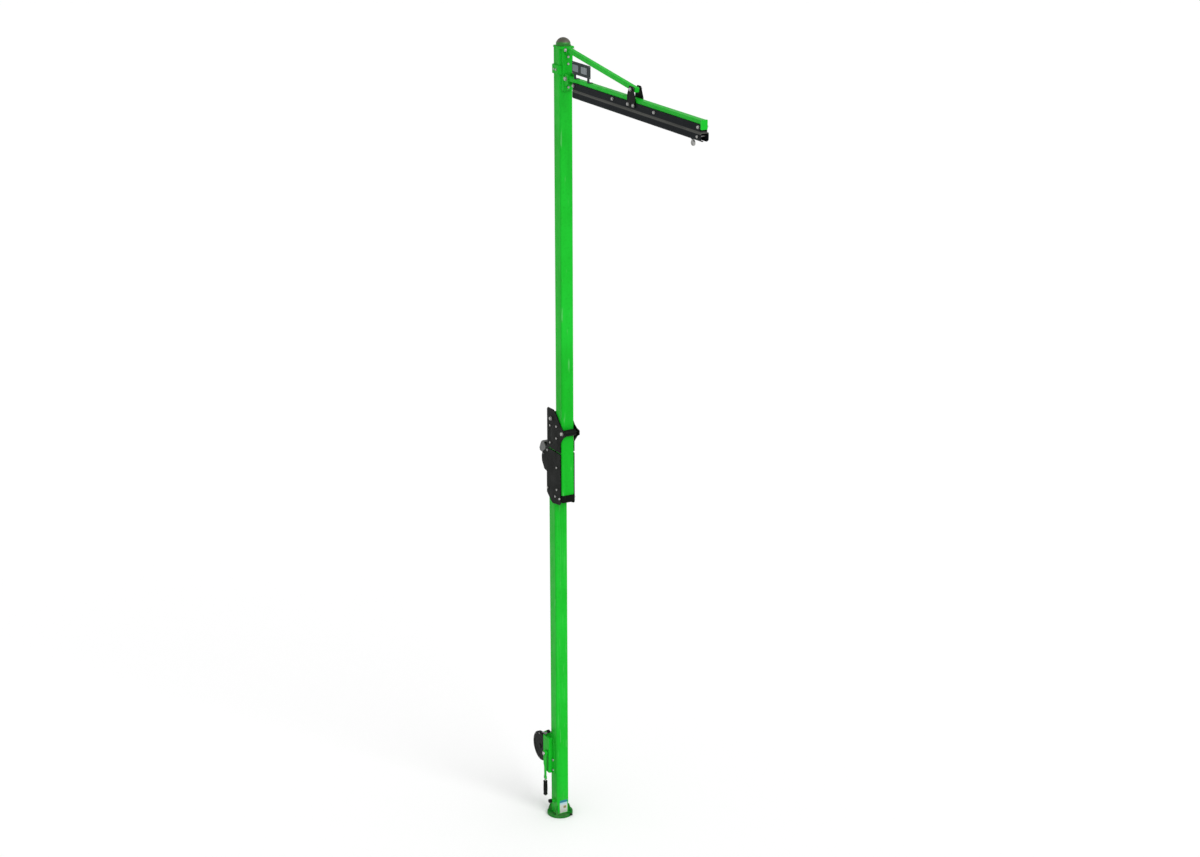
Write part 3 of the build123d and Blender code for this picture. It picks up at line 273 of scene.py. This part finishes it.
def machined_steel(name, color, roughness):
    """Turned or milled steel under a thin film of oil, browned in places."""
    made = Finish(name, color, roughness, metallic=1.0)
    edges = made.round_edges(0.0005)
    cut = made.noise(700.0, detail=2.0)
    stain = made.noise(28.0, detail=6.0)
    made.tint(made.ramp(cut, 0.40, 0.65, 0.0, 0.30), shade_of(color, 0.60))
    made.tint(made.ramp(stain, 0.56, 0.78, 0.0, 0.55), (0.20, 0.155, 0.11))
    made.tint(made.times(edges, 0.4), (0.75, 0.75, 0.74))
    made.rough(made.noise(60.0, detail=5.0), roughness - 0.08, roughness + 0.20)
    made.relief(cut, 0.22, 0.00015)
    return made


def moulded_plastic(name, dark, light, roughness, grain, scuff):
    """Moulded plastic with a spark-eroded grain, scuffed pale on its edges."""
    made = Finish(name, dark, roughness, Specular_IOR_Level=0.07)
    edges = made.round_edges(0.0010)
    made.tint(made.ramp(made.noise(12.0, detail=5.0), 0.35, 0.70), light)
    marks = made.noise(24.0, detail=7.0, stretch=(3, 3, 1), distortion=0.8)
    made.tint(made.ramp(marks, 0.62, 0.74, 0.0, 0.45), scuff)
    made.tint(made.times(edges, made.ramp(made.noise(70.0), 0.38, 0.62), 0.5), scuff)
    made.rough(made.noise(40.0, detail=4.0), roughness - 0.10, roughness + 0.12)
    made.relief(made.cells(grain), 0.25, 0.0002)
    return made


def cast_metal(name, color, shade, roughness):
    """A sand-cast or sintered metal, pitted and stained."""
    made = Finish(name, color, roughness, metallic=0.75)
    edges = made.round_edges(0.0012)
    made.tint(made.ramp(made.noise(18.0, detail=6.0), 0.38, 0.68), shade)
    pits = made.ramp(made.cells(520.0), 0.05, 0.40)
    made.tint(made.times(edges, 0.5), shade_of(color, 1.7))
    made.rough(made.noise(70.0, detail=5.0), roughness - 0.10, roughness + 0.20)
    made.relief(pits, 0.30, 0.0003)
    return made


def cap_casting():
    """The mast cap: a weathered casting, with a painted reflection of the mast's green up its skirt."""
    made = cast_metal("cap_casting", (0.150, 0.140, 0.112), (0.095, 0.092, 0.072), 0.50)
    low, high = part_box("mast_cap")
    up = made.ramp(made.axis("Z"), low.z, high.z)
    ragged = made.calc("ADD", up, made.ramp(made.noise(24.0, detail=5.0), 0.3, 0.7, -0.10, 0.10))
    # Painted reflection: the mast's green mixed over the lower skirt, fading out towards the top along a ragged
    # edge.
    made.tint(made.ramp(ragged, 0.22, 0.62, 0.75, 0.0), (0.012, 0.24, 0.022))
    return made


def printed_label():
    """A blank printed sticker: a blue head band fading to a white field, with an olive panel."""
    made = Finish("label_print", (0.50, 0.52, 0.48), 0.35, Specular_IOR_Level=0.15)
    low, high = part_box("mast_label")
    up = made.ramp(made.axis("Z"), low.z, high.z)
    over = made.ramp(made.axis("Y"), low.y, high.y)
    made.tint(made.ramp(made.noise(16.0, detail=4.0), 0.3, 0.7, 0.0, 0.5), (0.42, 0.44, 0.40))
    made.tint(made.ramp(up, 0.62, 0.90, 0.0, 0.9), (0.30, 0.50, 0.58))
    made.tint(made.ramp(up, 0.905, 0.925), (0.020, 0.17, 0.22))
    panel = made.times(made.within(up, 0.30, 0.56, 0.01), made.within(over, 0.48, 0.93, 0.01))
    made.tint(panel, (0.22, 0.19, 0.07))
    splashes = made.ramp(made.noise(60.0, detail=5.0), 0.45, 0.7)
    made.tint(made.times(made.ramp(up, 0.0, 0.30, 0.8, 0.0), splashes), (0.20, 0.21, 0.14))
    made.rough(made.noise(50.0), 0.25, 0.5)
    made.relief(made.noise(300.0), 0.12, 0.0002)
    return made


def wire():
    """Bright galvanised wire with dark grease between the strands."""
    made = Finish("rope_wire", (0.36, 0.36, 0.35), 0.42, metallic=0.9)
    wires = made.noise(1400.0, detail=1.0, stretch=(1, 1, 0.25))
    made.tint(made.ramp(wires, 0.42, 0.62), (0.16, 0.16, 0.15))
    made.tint(made.ramp(made.noise(20.0, detail=5.0), 0.50, 0.75, 0.0, 0.6), (0.10, 0.085, 0.06))
    made.rough(made.noise(120.0), 0.30, 0.60)
    made.relief(wires, 0.35, 0.0002)
    return made


GREEN_DARK = (0.005, 0.395, 0.014)
GREEN_LIGHT = (0.009, 0.470, 0.024)
GREEN_WORN = (0.170, 0.520, 0.190)
BASE_DARK = (0.004, 0.150, 0.009)
BASE_LIGHT = (0.008, 0.205, 0.016)
BLACK_DARK = (0.0035, 0.0045, 0.0035)
BLACK_LIGHT = (0.0070, 0.0085, 0.0070)
BLACK_WORN = (0.085, 0.087, 0.080)

finishes = {
    "green_paint": powder_coat("green_paint", GREEN_DARK, GREEN_LIGHT, GREEN_WORN, 0.42),
    "black_steel": powder_coat(
        "black_paint", BLACK_DARK, BLACK_LIGHT, BLACK_WORN, 0.46, sheen=0.05, wear=0.8
    ),
    "black_track": track_paint(),
    "zinc": plated_steel("zinc_plate", (0.40, 0.40, 0.385), 0.38),
    "lever_zinc": plated_steel("lever_plate", (0.15, 0.152, 0.15), 0.42, spangle=45.0),
    "bare_steel": machined_steel("machined_steel", (0.36, 0.36, 0.35), 0.34),
    "bronze": cast_metal("sintered_bronze", (0.52, 0.34, 0.14), (0.36, 0.22, 0.09), 0.40),
    "nylon": moulded_plastic(
        "slide_nylon", (0.66, 0.63, 0.54), (0.76, 0.74, 0.66), 0.50, 300.0, (0.35, 0.34, 0.30)
    ),
    "black_plastic": moulded_plastic(
        "black_plastic", (0.004, 0.005, 0.004), (0.008, 0.010, 0.008), 0.48, 850.0, (0.05, 0.055, 0.05)
    ),
    "wire_rope": wire(),
    "cap_metal": cap_casting(),
    "slate_board": powder_coat(
        "slate_enamel", (0.013, 0.023, 0.022), (0.021, 0.034, 0.033), (0.09, 0.11, 0.11), 0.40
    ),
    "tag_grey": powder_coat(
        "tag_enamel", (0.155, 0.185, 0.195), (0.205, 0.235, 0.240), (0.32, 0.34, 0.35), 0.38, peel=0.15
    ),
    "label": printed_label(),
}
base_paint = powder_coat("base_green", BASE_DARK, BASE_LIGHT, GREEN_WORN, 0.42)
own_finish = {"lower_mast_tube": mast_paint(), "base_plate": base_paint, "swivel_flange": base_paint}

for row in frame["record"]["subparts"]:
    surface = frame["nodes"][row["node"]].data
    finish = own_finish.get(row["node"], finishes[row["material_slot"]])
    surface.materials.clear()
    surface.materials.append(finish.material)

# ---------------------------------------------------------------- mesh helpers


def together(shapes):
    """Joins (points, faces) pairs into one."""
    points = []
    faces = []
    for shape_points, shape_faces in shapes:
        first = len(points)
        points.extend(shape_points)
        faces.extend(tuple(index + first for index in face) for face in shape_faces)
    return points, faces


def placed(shape, where, direction):
    """Turns a shape made along +Z to point along a direction, and moves it."""
    turn = Vector(direction).to_track_quat("Z", "Y").to_matrix().to_4x4()
    matrix = Matrix.Translation(where) @ turn
    return [matrix @ Vector(point) for point in shape[0]], shape[1]


def piece(name, shape, body, slot, smooth_angle=40.0):
    """A new mesh object that rides on a body and takes a slot's finish."""
    data = bpy.data.meshes.new(name)
    data.from_pydata([tuple(point) for point in shape[0]], [], shape[1])
    data.validate()
    for polygon in data.polygons:
        polygon.use_smooth = True
    data.set_sharp_from_angle(angle=radians(smooth_angle))
    data.materials.append(finishes[slot].material)
    made = bpy.data.objects.new(name, data)
    bpy.context.scene.collection.objects.link(made)
    if isinstance(body, str):
        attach(made, body)
    return made


def lathe(profile, segments=32, flute=None):
    """Turns a closed profile of (radius, height) points round +Z; points on the axis make poles."""
    points = []
    rows = []
    for radius, height in profile:
        if radius < 1e-6:
            rows.append([len(points)] * segments)
            points.append(Vector((0, 0, height)))
            continue
        row = []
        for turn in range(segments):
            angle = 2 * pi * turn / segments
            r = radius * (flute(angle, height) if flute else 1.0)
            row.append(len(points))
            points.append(Vector((r * cos(angle), r * sin(angle), height)))
        rows.append(row)
    faces = []
    for index, row in enumerate(rows):
        above = rows[(index + 1) % len(rows)]
        if row[0] == row[1] and above[0] == above[1]:
            continue
        for turn in range(segments):
            after = (turn + 1) % segments
            corners = (row[turn], row[after], above[after], above[turn])
            faces.append(tuple(dict.fromkeys(corners)))
    return points, faces


def resample(route, step):
    """Points evenly spaced along a polyline, with their distance along it."""
    spaced = [(route[0], 0.0)]
    travelled = 0.0
    for start, end in zip(route, route[1:]):
        length = (end - start).length
        count = max(1, ceil(length / step))
        for index in range(1, count + 1):
            spaced.append((start.lerp(end, index / count), travelled + length * index / count))
        travelled += length
    return spaced


def tangent_of(route, index, closed=False):
    """The direction of a polyline at one of its points."""
    if closed:
        return (route[(index + 1) % len(route)] - route[index - 1]).normalized()
    return (route[min(index + 1, len(route) - 1)] - route[max(index - 1, 0)]).normalized()


def swept(rings, closed=False):
    """Skins rings of points; an open sweep gets end caps."""
    sides = len(rings[0])
    points = [point for ring in rings for point in ring]
    faces = []
    for index in range(len(rings) if closed else len(rings) - 1):
        here = index * sides
        there = (index + 1) % len(rings) * sides
        for side in range(sides):
            after = (side + 1) % sides
            faces.append((here + side, here + after, there + after, there + side))
    if not closed:
        faces.append(tuple(reversed(range(sides))))
        faces.append(tuple(range(len(points) - sides, len(points))))
    return points, faces


def stranded_rope(spaced, side_of, radius, sides=6):
    """A rope of twisted strands along evenly spaced points; side_of gives a direction across it."""
    route = [point for point, distance in spaced]
    strand_r = radius * 0.345
    helix_r = radius - strand_r - 0.0001
    strands = []
    for strand in range(ROPE_STRANDS):
        rings = []
        for index, (point, distance) in enumerate(spaced):
            tangent = tangent_of(route, index)
            across = side_of(point)
            normal = tangent.cross(across).normalized()
            twist = 2 * pi * (distance / ROPE_LAY + strand / ROPE_STRANDS)
            middle = point + helix_r * (cos(twist) * normal + sin(twist) * across)
            ring = []
            for corner in range(sides):
                angle = 2 * pi * corner / sides + twist
                ring.append(middle + strand_r * (cos(angle) * normal + sin(angle) * across))
            rings.append(ring)
        strands.append(swept(rings))
    return together(strands)


def weld_bead(route, radius=WELD_R, closed=False):
    """A rippled fillet of weld metal along a route."""
    full = route + [route[0]] if closed else route
    spaced = resample(full, WELD_RIPPLE / 3)
    if closed:
        spaced = spaced[:-1]
    path = [point for point, distance in spaced]
    rings = []
    for index, (point, distance) in enumerate(spaced):
        tangent = tangent_of(path, index, closed)
        helper = Vector((0, 0, 1)) if abs(tangent.z) < 0.9 else Vector((1, 0, 0))
        normal = tangent.cross(helper).normalized()
        across = tangent.cross(normal)
        ripple = radius * (0.84 + 0.16 * abs(sin(pi * distance / WELD_RIPPLE)))
        angles = [2 * pi * side / WELD_SIDES for side in range(WELD_SIDES)]
        rings.append([point + ripple * (cos(angle) * normal + sin(angle) * across) for angle in angles])
    return swept(rings, closed)


def rounded_square(centre, half, corner, steps=5):
    """A closed route round a square post at centre's height."""
    route = []
    for quarter in range(4):
        for step in range(steps + 1):
            angle = pi / 2 * (quarter + step / steps)
            at_x = (half - corner) * (1 if quarter in (0, 3) else -1)
            at_y = (half - corner) * (1 if quarter in (0, 1) else -1)
            route.append(centre + Vector((at_x + corner * cos(angle), at_y + corner * sin(angle), 0)))
    return route


def arc(centre, radius, start, end, step=radians(4)):
    """Points on an arc in the XZ plane."""
    count = max(2, ceil(abs(end - start) / step))
    angles = [start + (end - start) * index / count for index in range(count + 1)]
    return [centre + radius * Vector((cos(angle), 0, sin(angle))) for angle in angles]


# ---------------------------------------------------------------- hoist rope

fall_low, fall_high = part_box("rope_fall")
rope_r = (fall_high.x - fall_low.x) / 2
fall_x = (fall_high.x + fall_low.x) / 2
head_r = fall_x - head_at.x
riser_x = head_at.x - head_r
lead_r = riser_x - lead_at.x
coil_low, coil_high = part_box("drum_rope")
drum_core_r = 0.032
drum_r = drum_core_r + rope_r + ROPE_GAP

along = (lead_at - drum_at).normalized()
lean = (drum_r - lead_r) / (lead_at - drum_at).length
tangent = Vector((along.z, 0, -along.x)) * sqrt(1 - lean ** 2) + along * lean
lead_start = atan2(tangent.z, tangent.x)
rope_route = [drum_at + drum_r * tangent]
rope_route += arc(lead_at, lead_r, lead_start, 0.0)
rope_route += arc(head_at, head_r, pi, 0.0)

rope_in_mast = piece(
    "rope_in_mast", stranded_rope(resample(rope_route, ROPE_STEP), lambda point: Y_AXIS, rope_r),
    "lower_mast", "wire_rope",
)
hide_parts("hoist_rope")

shoe_top = Vector((fall_x, 0, fall_low.z))
fall_top = Vector((fall_x, 0, fall_high.z))
rope_to_shoe = piece(
    "rope_to_shoe", stranded_rope(resample([fall_top, shoe_top], ROPE_STEP), lambda point: Y_AXIS, rope_r),
    None, "wire_rope",
)
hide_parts("rope_fall")
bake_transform(rope_to_shoe)

FERRULE_R = 0.0052
FERRULE_H = 0.034
ferrule_profile = [
    (0.0, 0.0), (FERRULE_R, 0.0), (FERRULE_R, FERRULE_H * 0.84), (FERRULE_R * 0.86, FERRULE_H * 0.94),
    (FERRULE_R * 0.64, FERRULE_H), (0.0, FERRULE_H),
]
piece("rope_ferrule", placed(lathe(ferrule_profile), shoe_top, (0, 0, 1)), "upper_mast", "bare_steel")


def drum_coil():
    """Two layers of rope wound to and fro on the drum."""
    pitch = 2 * rope_r + 0.0001
    first_y = coil_high.y - rope_r
    last_y = coil_low.y + rope_r + pitch * 0.5
    layers = []
    turns = (first_y - last_y) / pitch
    spans = ((first_y, last_y), (last_y - pitch * 0.5, first_y - pitch * 0.5))
    for layer, (start_y, end_y) in enumerate(spans):
        radius = drum_core_r + rope_r + 1.75 * rope_r * layer
        count = ceil(turns * 2 * pi * radius / ROPE_STEP)
        route = []
        for index in range(count + 1):
            share = index / count
            angle = 2 * pi * turns * share
            centre = drum_at + Y_AXIS * (start_y + (end_y - start_y) * share)
            route.append(centre + radius * Vector((cos(angle), 0, -sin(angle))))
        layers.append(stranded_rope(resample(route, 2 * ROPE_STEP), radial_from_drum, rope_r * 0.985))
    return together(layers)


def radial_from_drum(point):
    """The direction from the drum's axis to a point."""
    away = point - drum_at
    away.y = 0
    return away.normalized()


rope_on_drum = piece("rope_on_drum", drum_coil(), "drum", "wire_rope")
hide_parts("drum_rope")

# ---------------------------------------------------------------- crank grip


def grip_moulding():
    """A barrelled grip with end collars and shallow flutes, bored for its spindle."""
    low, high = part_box("crank_grip")
    length = high.z - low.z
    outer = (high.x - low.x) / 2
    bore = 0.0062
    collar = 0.008
    profile = [(bore, 0.0), (outer - 0.004, 0.0), (outer - 0.001, 0.0012), (outer, 0.004)]
    profile.append((outer, collar - 0.001))
    rows = 28
    for row in range(rows + 1):
        share = row / rows
        swell = 0.0014 * sin(pi * share)
        profile.append((outer - 0.0018 + swell * 0.9, collar + (length - 2 * collar) * share))
    profile += [(outer, length - collar + 0.001), (outer, length - 0.004), (outer - 0.001, length - 0.0012)]
    profile += [(outer - 0.004, length), (bore, length)]
    flutes = 20

    def flute(angle, height):
        inside = collar + 0.004 < height < length - collar - 0.004
        return 1.0 - (0.045 * max(0.0, cos(flutes * angle)) ** 2 if inside else 0.0)

    where = Vector(((low.x + high.x) / 2, (low.y + high.y) / 2, low.z))
    return placed(lathe(profile, 120, flute), where, (0, 0, 1))


grip = piece("grip_moulding", grip_moulding(), "grip", "black_plastic", 55.0)
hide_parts("crank_grip")

# ---------------------------------------------------------------- screws and rivets


def socket_screw(radius, height):
    """A round screw head with a socket, standing on z = 0."""
    return lathe([
        (0.0, height * 0.45), (radius * 0.48, height * 0.45), (radius * 0.52, height),
        (radius * 0.84, height), (radius, height * 0.80), (radius, 0.0), (0.0, 0.0),
    ], 24)


def dome_rivet(radius, height):
    """A low domed rivet head, standing on z = 0."""
    steps = 5
    dome = [
        (radius * cos(pi / 2 * step / steps), height * sin(pi / 2 * step / steps)) for step in range(steps)
    ]
    return lathe([(0.0, 0.0)] + dome + [(0.0, height)], 20)


def case_screws():
    """Six screws round the gear case, where the cheek doesn't cover it."""
    low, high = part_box("winch_gear_case")
    circle_r = (high.z - low.z) / 2 - 0.012
    face_y = low.y + 0.005
    heads = []
    for turn in range(6):
        angle = radians(95 + 34 * turn)
        where = Vector((drum_at.x + circle_r * cos(angle), face_y, drum_at.z + circle_r * sin(angle)))
        heads.append(placed(socket_screw(0.005, 0.0035), where, (0, -1, 0)))
    return together(heads)


def tag_rivets():
    """Four rivets round the board's corners and two on each tag."""
    board_low, board_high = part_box("nameplate_board")
    tags_low, tags_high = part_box("nameplate_tags")
    middle_z = (tags_low.z + tags_high.z) / 2
    half_tag = 0.042
    inset = 0.006
    heads = []
    for tag_x in (tags_low.x + half_tag, tags_high.x - half_tag):
        for side in (-1, 1):
            where = Vector((tag_x + side * (half_tag - inset), tags_low.y, middle_z))
            heads.append(placed(dome_rivet(0.0026, 0.0012), where, (0, -1, 0)))
    for x in (board_low.x + 2 * inset, board_high.x - 2 * inset):
        for z in (tags_low.z - 2 * inset, board_high.z - 1.4 * inset):
            where = Vector((x, board_low.y, z))
            heads.append(placed(dome_rivet(0.0032, 0.0015), where, (0, -1, 0)))
    return together(heads)


piece("gear_case_screws", case_screws(), "lower_mast", "zinc")
piece("tag_rivets", tag_rivets(), "upper_mast", "zinc")

# ---------------------------------------------------------------- welds


def foot_welds():
    """Fillets round the mast's foot and along both sides of each corner gusset."""
    low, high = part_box("lower_mast_tube")
    flange_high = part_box("swivel_flange")[1]
    half = (high.x - low.x) / 2
    flange_top = low.z
    gusset_h = flange_high.z - flange_top
    flange_r = flange_high.x
    beads = [weld_bead(rounded_square(Vector((0, 0, flange_top)), half, 0.012), closed=True)]
    gusset_half = 0.004
    root_r = half * sqrt(2) - 0.005
    for quarter in range(4):
        out = Vector((cos(pi / 4 + pi / 2 * quarter), sin(pi / 4 + pi / 2 * quarter), 0))
        across = Vector((-out.y, out.x, 0))
        for side in (-1, 1):
            offset = across * gusset_half * side
            foot = out * root_r + offset + Vector((0, 0, flange_top))
            beads.append(weld_bead([foot, foot + out * (flange_r - 0.008 - root_r)], WELD_R * 0.8))
            beads.append(weld_bead([foot, foot + Vector((0, 0, gusset_h - 0.004))], WELD_R * 0.8))
    return together(beads)


def ring_weld(centre, radius, steps=40):
    """A fillet round a boss along Y."""
    ring = [
        centre + radius * Vector((cos(2 * pi * step / steps), 0, sin(2 * pi * step / steps)))
        for step in range(steps)
    ]
    return weld_bead(ring, WELD_R * 0.8, closed=True)


def head_welds():
    """Fillets down both sides of the head bracket, on the upper mast's front face."""
    mast_low, mast_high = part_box("upper_mast_tube")
    bracket_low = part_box("head_bracket")[0]
    collar_low, collar_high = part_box("head_collar")
    bracket_half = 0.038
    beads = []
    for side in (-1, 1):
        for z0, z1 in ((bracket_low.z, collar_low.z - 0.002), (collar_high.z + 0.002, mast_high.z - 0.002)):
            start = Vector((mast_high.x, side * bracket_half, z0))
            beads.append(weld_bead([start, Vector((start.x, start.y, z1))]))
    return together(beads)


def shoe_weld():
    """A fillet round the upper mast, where it stands in its shoe."""
    mast_low, mast_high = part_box("upper_mast_tube")
    shoe_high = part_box("mast_shoe")[1]
    half = (mast_high.y - mast_low.y) / 2
    centre = Vector(((mast_low.x + mast_high.x) / 2, 0, shoe_high.z))
    return weld_bead(rounded_square(centre, half, 0.012), WELD_R * 0.75, closed=True)


def arm_end_weld():
    """A fillet round the arm's end, against its end plate."""
    low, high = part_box("arm_bar")
    corners = [(-1, -1), (1, -1), (1, 1), (-1, 1)]
    half_y = (high.y - low.y) / 2
    half_z = (high.z - low.z) / 2 - 0.001
    middle = Vector((high.x, 0, (high.z + low.z) / 2))
    route = [middle + Vector((0, y * half_y, z * half_z)) for y, z in corners]
    return weld_bead(route, WELD_R * 0.6, closed=True)


boss_low, boss_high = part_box("plunger_boss")
boss_at = Vector((0, boss_high.y, (boss_low.z + boss_high.z) / 2))
boss_flats_r = (boss_high.z - boss_low.z) / 2
piece("foot_welds", foot_welds(), "lower_mast", "green_paint", 80.0)
piece("boss_weld", ring_weld(boss_at, boss_flats_r), "lower_mast", "green_paint", 80.0)
piece("head_welds", head_welds(), "upper_mast", "green_paint", 80.0)
piece("shoe_weld", shoe_weld(), "upper_mast", "black_steel", 80.0)
piece("arm_end_weld", arm_end_weld(), "upper_mast", "green_paint", 80.0)

# ---------------------------------------------------------------- stage, light and camera


def studio():
    """A wide pale floor, soft light from all round and a broad key from the arm's side."""
    reach = 150.0
    sides = 128
    data = bpy.data.meshes.new("floor")
    turns = [2 * pi * side / sides for side in range(sides)]
    rim = [(reach * cos(turn), reach * sin(turn), 0) for turn in turns]
    data.from_pydata(rim, [], [tuple(range(sides))])
    pale = Finish("pale_floor", (0.955, 0.955, 0.955), 0.9, Specular_IOR_Level=0.1)
    pale.tint(pale.ramp(pale.noise(60.0, detail=3.0), 0.3, 0.7), (0.965, 0.965, 0.965))
    data.materials.append(pale.material)
    floor = bpy.data.objects.new("floor", data)
    bpy.context.scene.collection.objects.link(floor)

    world = bpy.data.worlds.new("studio")
    bpy.context.scene.world = world
    world.use_nodes = True
    background = world.node_tree.nodes["Background"]
    background.inputs["Color"].default_value = (1.0, 1.0, 1.0, 1)
    background.inputs["Strength"].default_value = 0.80

    key = bpy.data.lights.new("key", "SUN")
    key.energy = 1.5
    key.angle = radians(35)
    key_object = bpy.data.objects.new("key", key)
    key_from = Vector((0.85, 0.15, 0.55))
    key_object.rotation_mode = "QUATERNION"
    key_object.rotation_quaternion = key_from.to_track_quat("Z", "Y")
    bpy.context.scene.collection.objects.link(key_object)
    bpy.context.scene.view_settings.view_transform = "Standard"


def camera():
    """The camera stands off from its target by azimuth and elevation, and looks at it."""
    azimuth = radians(CAMERA_AZIMUTH)
    elevation = radians(CAMERA_ELEVATION)
    back = Vector((sin(azimuth) * cos(elevation), -cos(azimuth) * cos(elevation), sin(elevation)))
    lens = bpy.data.cameras.new("camera")
    lens.lens = CAMERA_LENS
    lens.sensor_width = SENSOR_WIDTH
    lens.clip_end = 400.0
    made = bpy.data.objects.new("camera", lens)
    made.location = CAMERA_TARGET + back * CAMERA_DISTANCE
    made.rotation_mode = "QUATERNION"
    made.rotation_quaternion = back.to_track_quat("Z", "Y")
    bpy.context.scene.collection.objects.link(made)
    bpy.context.scene.camera = made


studio()
camera()
